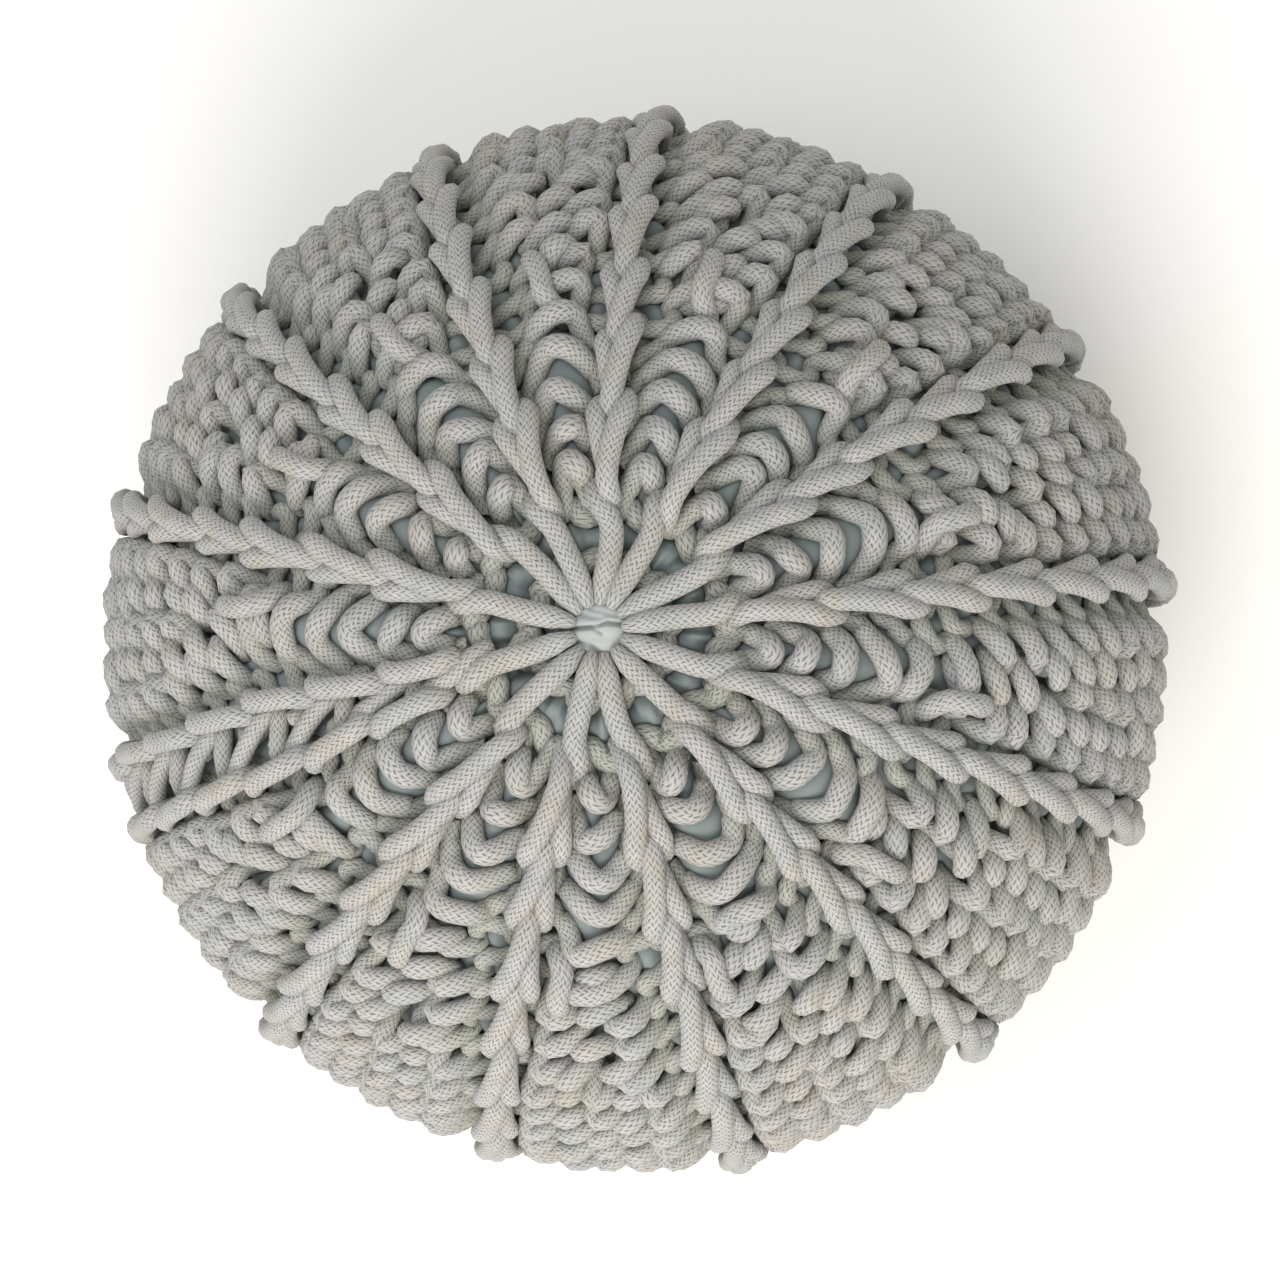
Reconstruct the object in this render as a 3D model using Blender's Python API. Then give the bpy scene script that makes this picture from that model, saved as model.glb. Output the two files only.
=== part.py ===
# Knitted floor pouf: a cover hand-knitted from thick braided cotton cord, drawn together at the top and
# at the bottom, over a filled cloth casing that shows at the eye and through the gaps in the knitting.
# Metres, +Z up, origin on the floor under the middle. Seen from above, +X is right and +Y is up.
import math

import bmesh
import bpy
import numpy as np

# Driving sizes
ACROSS = 0.500  # over two opposite ribs
HEIGHT = 0.350
GIRTH_HEIGHT = 0.170  # height of the widest round
CORD = 0.009  # thickness of the braided cord
ROW_PITCH = 0.0165  # from one round of purl stitches to the next
CLEARANCE = 0.0003  # between the casing and the knitting

# The cover has thirteen ribs, given by azimuth in degrees. It is knitted flat, and its two edges are
# sewn together along the seam rib.
RIB_AZIMUTHS = (-162.8, -131.9, -104.6, -77.7, -49.0, -20.1, 6.4, 34.1, 60.0, 86.6, 112.0, 139.2, 165.4)
SEAM = 0  # the rib at -162.8 degrees

# Half widths of the crest and the foot of a rib, and of a spoke between the eye and the first stitches
RIB_HALVES = (0.53 * CORD, 1.08 * CORD)
SPOKE_HALVES = (0.22 * CORD, 0.50 * CORD)
MOST_OF_ROOM = (0.36, 0.68)  # where the spokes crowd, as a share of the way to the panel's middle
SEAM_WIDENING = 0.55 * CORD  # the seam is two chains of stitches side by side

# Heights of the knitting's face above the casing
SPOKE_RISE = 1.05 * CORD
PURL_RISE = 1.15 * CORD
VALLEY_RISE = 0.60 * CORD
RIB_RISE = 1.80 * CORD
RIB_DIP = 1.50 * CORD  # between two stitches of a rib
EYE_RING_RISE = 0.85 * CORD
SEAM_GROOVE = 0.90 * CORD
SPOKE_EDGE = 0.0015
OPEN = -0.0040  # sunk into the casing, which leaves a gap in the knitting
FLAT = 1.20 * CORD  # pressed flat by the floor

# What the knitting does at a round of points: its height on a rib's crest, on a rib's foot, in the
# middle of a panel and in the groove of the seam
ROUND_KINDS = {
    "open": (OPEN, OPEN, OPEN, OPEN),
    "eye ring": (EYE_RING_RISE, EYE_RING_RISE, EYE_RING_RISE, EYE_RING_RISE),
    "spokes": (SPOKE_RISE, SPOKE_EDGE, OPEN, SPOKE_EDGE),
    "purls": (RIB_RISE, PURL_RISE, PURL_RISE, SEAM_GROOVE),
    "gap in panel": (RIB_RISE, VALLEY_RISE, OPEN, SEAM_GROOVE),
    "gaps at rib": (RIB_DIP, OPEN, VALLEY_RISE, OPEN),
    "between purls": (RIB_RISE, VALLEY_RISE, VALLEY_RISE, SEAM_GROOVE),
    "between rib stitches": (RIB_DIP, VALLEY_RISE, VALLEY_RISE, SEAM_GROOVE),
    "plain": (RIB_RISE, PURL_RISE, PURL_RISE, SEAM_GROOVE),
    "base": (FLAT, FLAT, FLAT, FLAT),
}
CREST, FOOT, PANEL, GROOVE = range(4)

# Distances from the middle of the top, along the casing
EYE_ROUNDS = (0.0, 0.0065, 0.0120)
EYE_RING_ROUNDS = (0.0145, 0.0175)
SPOKE_ROUNDS = (0.0215, 0.0330, 0.0445, 0.0550)
FIRST_PURLS = 0.0630
PANEL_GAPS_END = 0.150
RIB_GAPS_END = 0.205
PURLS_END = 0.420  # plain between the ribs from there down to the base
PLAIN_PITCH = 0.030
BASE_ROUNDS = (0.012, 0.055)  # from the edge of the flat base

# The casing
CROWN_EXPONENT = 2.05  # of its upper half: 2 is an ellipse
SIDE_EXPONENT = 2.8  # of its lower half, which the filling pushes out
SAG = 1.15  # how far the lower half would reach without the floor
CASING_BASE = FLAT - 0.0008  # height of its flat base
CASING_COLUMNS = 26
CASING_ROUNDS = (0.0040, 0.0075, 0.0105, 0.0125, 0.0200, 0.0380, 0.0600)
CASING_PITCH = 0.035
BULGE_RADIUS = 0.0125  # cloth pushed out through the eye
BULGE_RISE = 0.0075
CREASE_AZIMUTHS = (178.0, 12.0, -62.0)  # a Y-shaped fold in the bulge
CREASE_WIDTH = 14.0
CREASE_DEPTH = 0.0025

# Linear colours
COTTON_COLOUR = (0.47, 0.46, 0.41)
COTTON_ROUGHNESS = 0.95
CASING_COLOUR = (0.42, 0.47, 0.46)
CASING_ROUGHNESS = 0.85
SHARP_FROM = 50.0


def casing_meridian(steps=4000):
    """The casing's outline from its top pole to its bottom one, as arc length, radius and height."""
    level = np.cos(np.linspace(0, math.pi, steps))
    exponent = np.where(level > 0, CROWN_EXPONENT, SIDE_EXPONENT)
    radius = (ACROSS / 2 - RIB_RISE) * (1 - np.abs(level) ** exponent) ** (1 / exponent)
    above = HEIGHT - SPOKE_RISE - GIRTH_HEIGHT
    below = SAG * (GIRTH_HEIGHT - CASING_BASE)
    height = GIRTH_HEIGHT + level * np.where(level > 0, above, below)
    height = np.maximum(height, CASING_BASE)
    arc = np.concatenate([[0], np.cumsum(np.hypot(np.diff(radius), np.diff(height)))])
    return arc, radius, height


ARC, RADIUS, HEIGHT_AT = casing_meridian()
SLOPE_OUT = -np.gradient(HEIGHT_AT, ARC)
SLOPE_UP = np.gradient(RADIUS, ARC)
BASE_EDGE = ARC[np.argmax(HEIGHT_AT <= CASING_BASE)]


def casing_point(arc, azimuth, rise=0.0):
    """A point at a height above the casing, measured square to it."""
    radius = np.interp(arc, ARC, RADIUS) + rise * np.interp(arc, ARC, SLOPE_OUT)
    height = np.interp(arc, ARC, HEIGHT_AT) + rise * np.interp(arc, ARC, SLOPE_UP)
    return radius * math.cos(azimuth), radius * math.sin(azimuth), max(height, 0.0)


def new_object(name, collection):
    obj = bpy.data.objects.new(name, bpy.data.meshes.new(name))
    collection.objects.link(obj)
    return obj


def shaped_sphere(obj, columns, rounds, point_at):
    """A UV sphere whose points are moved to point_at(column, round)."""
    shape = bmesh.new()
    bmesh.ops.create_uvsphere(shape, u_segments=columns, v_segments=rounds - 1, radius=1)
    for vertex in shape.verts:
        column = round(math.atan2(vertex.co.y, vertex.co.x) * columns / math.tau) % columns
        row = round(math.acos(max(-1, min(1, vertex.co.z))) * (rounds - 1) / math.pi)
        vertex.co = point_at(column, row)
    bmesh.ops.recalc_face_normals(shape, faces=shape.faces)
    shape.to_mesh(obj.data)
    shape.free()


def bulge(arc, azimuth):
    """Height of the cloth pushed out through the eye, with the three creases that meet in it."""
    share = min(arc / BULGE_RADIUS, 1.0)
    folds = 1.0 if arc == 0 else 0.0
    for crease in CREASE_AZIMUTHS:
        turn = abs((math.degrees(azimuth) - crease + 180) % 360 - 180)
        folds = max(folds, math.exp(-((turn / CREASE_WIDTH) ** 2)))
    return BULGE_RISE * (1 - share**3) - CREASE_DEPTH * folds * (1 - share**2)


def build_casing(collection):
    rounds = [0.0, *CASING_ROUNDS]
    side = np.linspace(rounds[-1], BASE_EDGE, math.ceil((BASE_EDGE - rounds[-1]) / CASING_PITCH) + 1)
    rounds += [*side[1:], 0.5 * (BASE_EDGE + ARC[-1]), ARC[-1]]

    def point_at(column, row):
        azimuth = math.tau * column / CASING_COLUMNS
        return casing_point(rounds[row], azimuth, bulge(rounds[row], azimuth))

    casing = new_object("casing", collection)
    shaped_sphere(casing, CASING_COLUMNS, len(rounds), point_at)
    return casing


def cover_rounds():
    """The rounds of the knitting from the top pole to the bottom one: distance and kind."""
    rounds = [(arc, "open") for arc in EYE_ROUNDS]
    rounds += [(arc, "eye ring") for arc in EYE_RING_ROUNDS]
    rounds += [(arc, "spokes") for arc in SPOKE_ROUNDS]
    for row in range(math.ceil((PURLS_END - FIRST_PURLS) / ROW_PITCH)):
        arc = FIRST_PURLS + row * ROW_PITCH
        rounds.append((arc, "purls"))
        if row % 2:
            valley = "gaps at rib" if arc < RIB_GAPS_END else "between rib stitches"
        else:
            valley = "gap in panel" if arc < PANEL_GAPS_END else "between purls"
        rounds.append((arc + 0.5 * ROW_PITCH, valley))
    last = rounds[-1][0]
    plain = np.linspace(last, BASE_EDGE, math.ceil((BASE_EDGE - last) / PLAIN_PITCH) + 1)
    rounds += [(arc, "plain") for arc in plain[1:]]
    rounds += [(BASE_EDGE + arc, "base") for arc in BASE_ROUNDS]
    rounds += [(ARC[-1] - arc, "base") for arc in reversed(EYE_RING_ROUNDS)]
    rounds += [(ARC[-1] - arc, "open") for arc in reversed(EYE_ROUNDS)]
    return rounds


def cover_columns():
    """The columns of the knitting, counter-clockwise: part, middle, side, room on that side, widening."""
    ribs = [math.radians(azimuth) for azimuth in RIB_AZIMUTHS]
    columns = []
    for index, rib in enumerate(ribs):
        before = 0.5 * ((rib - ribs[index - 1]) % math.tau)
        after = 0.5 * ((ribs[(index + 1) % len(ribs)] - rib) % math.tau)
        wider = SEAM_WIDENING if index == SEAM else 0.0
        columns += [(FOOT, rib, -1, before, wider), (CREST, rib, -1, before, wider)]
        if index == SEAM:
            columns.append((GROOVE, rib, 0, after, wider))
        columns += [(CREST, rib, 1, after, wider), (FOOT, rib, 1, after, wider)]
        columns.append((PANEL, rib + after, 0, after, 0.0))
    return columns


def column_azimuth(column, arc):
    """Azimuth of a column of the knitting. A rib keeps its width while the panels widen."""
    part, middle, side, room, wider = column
    if side == 0:
        return middle
    half = wider + (SPOKE_HALVES if arc < FIRST_PURLS else RIB_HALVES)[part]
    radius = max(np.interp(arc, ARC, RADIUS), CLEARANCE)
    return middle + side * min(half / radius, MOST_OF_ROOM[part] * room)


def build_cover(collection):
    rounds = cover_rounds()
    columns = cover_columns()

    def point_at(column, row):
        arc, kind = rounds[row]
        rise = ROUND_KINDS[kind][columns[column][0]]
        return casing_point(arc, column_azimuth(columns[column], arc), rise)

    cover = new_object("knit_cover", collection)
    shaped_sphere(cover, len(columns), len(rounds), point_at)
    return cover


def cut_room_for_casing(cover, casing, cutters):
    """Cuts the casing and its clearance from the cover, which opens the eyes and the gaps as well."""
    cutter = new_object("room_for_casing", cutters)
    cutter.data = casing.data.copy()
    cutter.display_type = "WIRE"
    cutter.hide_render = True
    swell = cutter.modifiers.new("clearance", "DISPLACE")
    swell.mid_level = 0.0
    swell.strength = CLEARANCE
    for obj in (cutter, cover):
        obj.modifiers.new("flat_faces", "TRIANGULATE")
    cut = cover.modifiers.new("room_for_casing", "BOOLEAN")
    cut.operation = "DIFFERENCE"
    cut.object = cutter


def cloth_material(name, colour, roughness):
    material = bpy.data.materials.new(name)
    material.use_nodes = True
    shader = material.node_tree.nodes["Principled BSDF"]
    shader.inputs["Base Color"].default_value = (*colour, 1.0)
    shader.inputs["Roughness"].default_value = roughness
    shader.inputs["Metallic"].default_value = 0.0
    return material


def clear_scene():
    for obj in list(bpy.data.objects):
        bpy.data.objects.remove(obj, do_unlink=True)


def build():
    clear_scene()
    parts = bpy.data.collections.new("knitted_pouf")
    cutters = bpy.data.collections.new("cutters")
    for collection in (parts, cutters):
        bpy.context.scene.collection.children.link(collection)
    casing = build_casing(parts)
    cover = build_cover(parts)
    cut_room_for_casing(cover, casing, cutters)
    casing.data.materials.append(cloth_material("casing_cloth", CASING_COLOUR, CASING_ROUGHNESS))
    cover.data.materials.append(cloth_material("braided_cotton", COTTON_COLOUR, COTTON_ROUGHNESS))
    for obj in (casing, cover):
        obj.data.shade_smooth()
        obj.data.set_sharp_from_angle(angle=math.radians(SHARP_FROM))


build()
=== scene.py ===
# Knitted pouf: a cover hand-knitted from thick braided cotton cord over a filled cloth casing.
# Every cord is a tube carried along its own path, and all of them are settled against each other.
import math

import bpy
import numpy as np
from mathutils import Matrix


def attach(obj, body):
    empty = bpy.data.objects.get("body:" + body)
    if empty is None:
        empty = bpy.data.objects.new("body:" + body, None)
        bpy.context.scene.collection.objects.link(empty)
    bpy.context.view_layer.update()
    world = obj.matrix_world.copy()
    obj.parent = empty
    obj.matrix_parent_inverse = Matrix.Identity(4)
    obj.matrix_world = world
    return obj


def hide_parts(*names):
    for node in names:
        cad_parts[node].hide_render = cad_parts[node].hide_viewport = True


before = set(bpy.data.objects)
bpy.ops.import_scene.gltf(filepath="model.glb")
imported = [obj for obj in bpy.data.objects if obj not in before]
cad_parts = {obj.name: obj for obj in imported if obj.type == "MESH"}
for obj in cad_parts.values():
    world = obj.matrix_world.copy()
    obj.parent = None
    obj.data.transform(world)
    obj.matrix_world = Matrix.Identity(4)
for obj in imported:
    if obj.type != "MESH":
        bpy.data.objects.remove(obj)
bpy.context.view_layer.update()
print("frame loaded:", sorted(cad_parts))

# Sizes in metres, taken over from the solid model
pouf = {
    "across": 0.500,
    "height": 0.350,
    "girthHeight": 0.170,
    "cord": 0.009,
    "crownExponent": 2.05,  # 2 is an ellipse
    "sideExponent": 2.8,
    "sag": 1.15,  # how far the lower half would reach without the floor
    "baseHeight": 0.010,  # of the casing above the floor
    "baseBend": 0.045,  # over this length the cords are pressed in more and more, up to the flat base
    "oval": 0.0055,  # wider along X than along Y by twice this share
    "ribStands": 0.0162,
    "spokeStands": 0.00945,
}
ribDegrees = (-162.8, -131.9, -104.6, -77.7, -49.0, -20.1, 6.4, 34.1, 60.0, 86.6, 112.0, 139.2, 165.4)
ribAngles = np.radians(ribDegrees)
seamAngle = ribAngles[0]  # the first rib is where the two edges of the knitting are sewn together


def linearColour(hexColour):
    # each sRGB channel to linear: its twelfth part below 0.04, else ((c + 0.055) / 1.055) to the power 2.4
    channels = np.array([int(hexColour[i:i + 2], 16) for i in (1, 3, 5)]) / 255
    linear = np.where(channels <= 0.04045, channels / 12.92, ((channels + 0.055) / 1.055) ** 2.4)
    return (*linear.tolist(), 1.0)


def smoothStep(share):
    # eases from 0 to 1: 3 s squared less 2 s cubed
    share = np.clip(share, 0, 1)
    return share * share * (3 - 2 * share)


def eased(value, start, length):
    # 0 up to the start, then the smooth step to 1 over the length
    return smoothStep((value - start) / length)


def casingOutline(steps=4000):
    # superellipse in radius and height, one exponent above the girth and one below, cut off by the base
    level = np.cos(np.linspace(0, np.pi, steps))
    power = np.where(level > 0, pouf["crownExponent"], pouf["sideExponent"])
    radius = (pouf["across"] / 2 - pouf["ribStands"]) * (1 - np.abs(level) ** power) ** (1 / power)
    above = pouf["height"] - pouf["spokeStands"] - pouf["girthHeight"]
    below = pouf["sag"] * (pouf["girthHeight"] - pouf["baseHeight"])
    height = pouf["girthHeight"] + level * np.where(level > 0, above, below)
    height = np.maximum(height, pouf["baseHeight"])
    arc = np.concatenate([[0], np.cumsum(np.hypot(np.diff(radius), np.diff(height)))])
    return arc, radius, height, -np.gradient(height, arc), np.gradient(radius, arc)


outlineArc, outlineRadius, outlineHeight, outlineOut, outlineUp = casingOutline()
baseEdge = outlineArc[np.argmax(outlineHeight <= pouf["baseHeight"])]
wholeArc = outlineArc[-1]


def radiusAt(arc):
    # the outline's radius between its steps
    return np.interp(arc, outlineArc, outlineRadius)


def normalAt(arc, azimuth):
    # the outline's normal at the arc, turned to the azimuth
    out = np.interp(arc, outlineArc, outlineOut)
    up = np.interp(arc, outlineArc, outlineUp)
    length = np.hypot(out, up)
    return np.stack([out * np.cos(azimuth), out * np.sin(azimuth), up], -1) / length[..., None]


def onCasing(arc, azimuth, rise):
    # the outline's point at the arc, turned to the azimuth and moved along the normal by the rise; the radius
    # changes with the cosine of twice the azimuth
    radius = radiusAt(arc) * (1 + pouf["oval"] * np.cos(2 * np.asarray(azimuth)))
    height = np.interp(arc, outlineArc, outlineHeight)
    point = np.stack([radius * np.cos(azimuth), radius * np.sin(azimuth), height], -1)
    return point + normalAt(arc, azimuth) * np.asarray(rise)[..., None]


def nearBase(arc):
    # 0 on the side, easing to 1 at the edge of the flat base
    return smoothStep((arc - baseEdge + pouf["baseBend"]) / pouf["baseBend"])


def narrowing(arc, least, start, length, lost):
    # a share of the full width: the least up to the start, easing to 1 over the length, and less by what is
    # lost on the way to the middle of the base
    grown = least + (1 - least) * eased(arc, start, length)
    return grown * (1 - lost * eased(arc, baseEdge, 0.12))


# The stitches. Lengths are in metres, along the casing from the middle of the top
knitting = {
    "rowPitch": 0.0165,
    "firstRow": 0.0630,
    "lastRow": 0.0480,  # this one from the middle of the base
    "crownEnds": 0.115,
    "sideStarts": 0.155,
    "widths": (0.052, 0.070),  # a panel wider than these has two stitches and three
    "borders": 0.05,  # how unevenly they share it
    "underTo": 3.1,  # of pi, where a stitch ends
    "underRise": 0.002,  # how far below the casing's outline it is there
    "onFace": (0.001, 0.005),  # from this rise on, and fully this much higher, a purl stitch is on the face
    "crownFace": 0.6,  # how much of one on the crown is on the face all along
    "onTop": (0.003, 0.0075),  # the same for a rib stitch
    "fuller": 0.05,  # how much thicker a cord is there
    "pressed": 0.14,  # how much thinner where it lies behind others
    "pressedFrom": 0.004,  # below this rise it is pressed, fully 8 mm lower
    "swollen": 0.14,  # how much wider a purl stitch is on the face, where nothing lies on it
    "ribNarrow": 0.16,  # how much narrower a rib stitch is where it isn't on top
    "unevenness": 0.0011,
    "upAndDown": 0.6,  # of the unevenness
    "seed": 11,
}
rowArcs = np.arange(knitting["firstRow"], wholeArc - knitting["lastRow"], knitting["rowPitch"])
rowGroups = {"crownRows": 9, "rimRows": 17, "sideRows": 25, "baseRows": len(rowArcs)}  # the row each stops at
dice = np.random.default_rng(knitting["seed"])

# The kinds of stitch are 0 purl, 1 rib, 2 the cord behind a rib, 3 and 4 the two ends of a row. These are the
# samples along the cord in each
samplesOf = (20, 36, 6, 8, 8)

# Each pair is for the crown, where the rows are stretched to open V's, and for the side, where their arcs lie
# side by side like the strands of a rope
purlShape = {
    "panelRise": (0.0034, 0.0012),  # of the middle of the fabric above the casing
    "depth": (0.0032, 0.0060),  # from the middle of the fabric to the middle of a cord on its face
    "reach": (0.50, 0.57),  # of a loop to each side of its row, in rows
    "uneven": (0.18, 0.06),  # of the reach, from stitch to stitch
    "open": (0.020, 0.155),  # how far a loop spreads, as a share of its width
    "turned": (0.20, 0.75),  # how far the left end of each arc comes up
    "leaning": (0.0, 0.0022),
    "lastArm": (0.56, 0.90),  # how much of its half stitch is left to the arc that passes under a rib
    "straight": (-0.10, 0.30),  # how nearly straight each arc runs
    "underFrom": (2.2, 1.4),  # of pi, where the last arc starts to go down
    "endsBack": (0.0020, 0.0085),  # how far the row goes back where it passes under a rib
    "aside": (0.70, 0.21),  # how far an arc's middle may be drawn aside
}

# A rib stitch is two rows tall and lies on top of the fabric; the next row passes behind it. Its first leg
# comes up between the legs of the stitch before and runs on top, the second comes out from under it. Each
# line is across, outward from the row and above the casing, in millimetres
ribStitch = {
    "width": 0.0170,
    "narrowing": (0.85, 0.063, 0.10, 0.4),
    "path": [
        (-8.5, -10.0, -2.0),
        (-5.0, -11.0, -3.5),
        (-1.5, -11.5, -1.5),
        (0.6, -8.5, 4.5),
        (1.2, -3.0, 9.5),
        (0.4, 6.0, 11.3),
        (-1.0, 17.0, 11.6),
        (-2.4, 26.0, 11.2),
        (-3.4, 33.0, 8.8),
        (-3.6, 38.0, 3.6),
        (-2.4, 41.0, -2.5),
        (0.3, 41.5, -5.0),
        (3.0, 39.0, -4.0),
        (4.4, 35.0, 0.8),
        (4.3, 30.0, 6.8),
        (4.0, 23.0, 8.4),
        (3.7, 16.0, 7.8),
        (3.2, 9.0, 4.6),
        (2.8, 1.5, 1.2),
        (3.2, -5.5, -1.5),
        (5.0, -10.5, -3.0),
        (8.5, -10.0, -2.0),
    ],
    "passingBehind": [(-8.5, -8.0, -2.0), (-4.0, -2.0, -4.5), (4.0, -2.0, -4.5), (8.5, -8.0, -2.0)],
}

# At the seam a row turns round under the chain of its edge
rowTurn = {
    "back": 0.010,  # from the row, where it comes in
    "short": 0.15,  # how far it keeps from the seam, as a share of the edge's width
    "starts": 0.3,  # the share of the way where the turn starts
    "rise": -0.002,
    "dip": 0.0025,
    "comesUp": 0.003,
}


def pastCrown(arc):
    # 0 on the crown, easing to 1 on the side
    return eased(arc, knitting["crownEnds"], knitting["sideStarts"] - knitting["crownEnds"])


def curveThrough(path, samples):
    # Catmull-Rom: between two points a cubic that leaves each one along the line joining its neighbours
    path = np.array(path) / 1000
    ends = np.stack([2 * path[0] - path[1], 2 * path[-1] - path[-2]])
    padded = np.concatenate([ends[:1], path, ends[1:]])
    place = np.linspace(0, len(path) - 1, samples)
    piece = np.minimum(place.astype(int), len(path) - 2)
    t = (place - piece)[:, None]
    before, start, stop, after = padded[piece], padded[piece + 1], padded[piece + 2], padded[piece + 3]
    line = (stop - before) * t + (2 * before - 5 * start + 4 * stop - after) * t ** 2
    return start + 0.5 * (line + (3 * start - before - 3 * stop + after) * t ** 3)


def ribWidth(arc):
    # the full width times its narrowing
    return ribStitch["width"] * narrowing(arc, *ribStitch["narrowing"])


def seamHalf(arc):
    # from the seam to the chain along each edge, narrowed in the same way
    return sewing["toChain"] * narrowing(arc, *sewing["narrowing"])


def layStitches():
    # one line for each stitch: its middle, the angle that it takes, its kind and its row. The angle is the
    # width over the casing's radius; the stitches of a panel share what its ribs leave
    lines = []
    ends = np.append(ribAngles, seamAngle + 2 * np.pi)
    lastPanel = len(ribAngles) - 1
    for row, arc in enumerate(rowArcs):
        radius = radiusAt(arc)
        rib = ribWidth(arc) / radius
        edge = sewing["edge"] * seamHalf(arc) / radius
        lines.append((seamAngle + edge / 2, edge, 3, row))
        for panel in range(lastPanel + 1):
            start = ends[panel] + (edge if panel == 0 else rib / 2)
            stop = ends[panel + 1] - (edge if panel == lastPanel else rib / 2)
            count = 1 + sum((stop - start) * radius > width for width in knitting["widths"])
            cuts = np.linspace(start, stop, count + 1)
            cuts[1:-1] += dice.normal(0, knitting["borders"], count - 1) * (stop - start) / count
            for left, right in zip(cuts[:-1], cuts[1:]):
                lines.append(((left + right) / 2, right - left, 0, row))
            if panel < lastPanel:
                lines.append((ends[panel + 1], rib, 1 + row % 2, row))
        lines.append((seamAngle + 2 * np.pi - edge / 2, edge, 4, row))
    return np.array(lines)


def waver(azimuth, row, scale):
    # a smooth wandering along each row: four sines of the azimuth with phases of their own
    phases = np.random.default_rng(knitting["seed"] + int(scale * 1e5)).uniform(0, 2 * np.pi, (64, 4))
    turns = np.array([5, 11, 23, 41])
    shares = np.array([0.9, 0.8, 0.6, 0.5])
    return scale * np.sum(shares * np.sin(azimuth[..., None] * turns + phases[row]), axis=-1)


def purlLoops(arc, atLeft, atRight):
    # t goes from -pi to pi. Across is t over 2 pi plus a sine of 2 t, outward a cosine of t made squarer by a
    # sine squared, the height a cosine of 2 t: head and foot are in front, the arms behind. The height runs a
    # little ahead, so each arc lies over the next one at its left end, as the strands of a rope do. Beside a
    # rib the wave stops early: on the crown an arm runs straight under the rib
    t = ((np.arange(samplesOf[0]) + 0.5) / samplesOf[0] * 2 - 1)[None] * np.pi
    beside = np.where(t < 0, atLeft[:, None], atRight[:, None])
    onSide = pastCrown(arc)[:, None]
    loop = {key: near + (far - near) * onSide for key, (near, far) in purlShape.items()}
    uneven = 1 + dice.normal(0, loop["uneven"][:, 0], len(arc))[:, None] * (1 + np.cos(t)) / 2
    wave = t * (1 - (1 - loop["lastArm"]) * beside)
    drawn = wave - loop["aside"] * dice.uniform(-1, 1, len(arc))[:, None] * np.cos(t / 2)
    across = t / (2 * np.pi) + loop["open"] * np.sin(2 * t)
    squarer = 1 + loop["straight"] * np.sin(drawn) ** 2
    outward = knitting["rowPitch"] * loop["reach"] * uneven * np.cos(drawn) * squarer
    outward -= loop["leaning"] * np.sin(2 * t)
    rise = loop["panelRise"] + loop["depth"] * np.cos(2 * wave + loop["turned"])
    down = eased(np.abs(t), loop["underFrom"], knitting["underTo"] - loop["underFrom"]) * beside
    outward = outward * (1 - down) - loop["endsBack"] * down
    return across, outward, rise * (1 - down) - knitting["underRise"] * down


def rowEnds(row, atRight):
    # under the chain of the edge and round to the next row: at one edge a row meets the next one, at the
    # other edge the one before. Outward is an ease from behind the row to half a row away, the height a sine
    # that dips under the chain, with a square that comes up at the seam
    share = np.linspace(0, 1, samplesOf[3])[None]
    toSeam = share if atRight else 1 - share
    across = share - 0.5 + (-rowTurn["short"] if atRight else rowTurn["short"]) * toSeam
    turning = np.where(row % 2 == int(atRight), -1, 1)[:, None]
    whole = rowTurn["back"] + turning * 0.5 * knitting["rowPitch"]
    outward = eased(toSeam, rowTurn["starts"], 1 - rowTurn["starts"]) * whole - rowTurn["back"]
    rise = rowTurn["rise"] - rowTurn["dip"] * np.sin(np.pi * toSeam) + rowTurn["comesUp"] * toSeam ** 2
    return across, outward, rise


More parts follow.
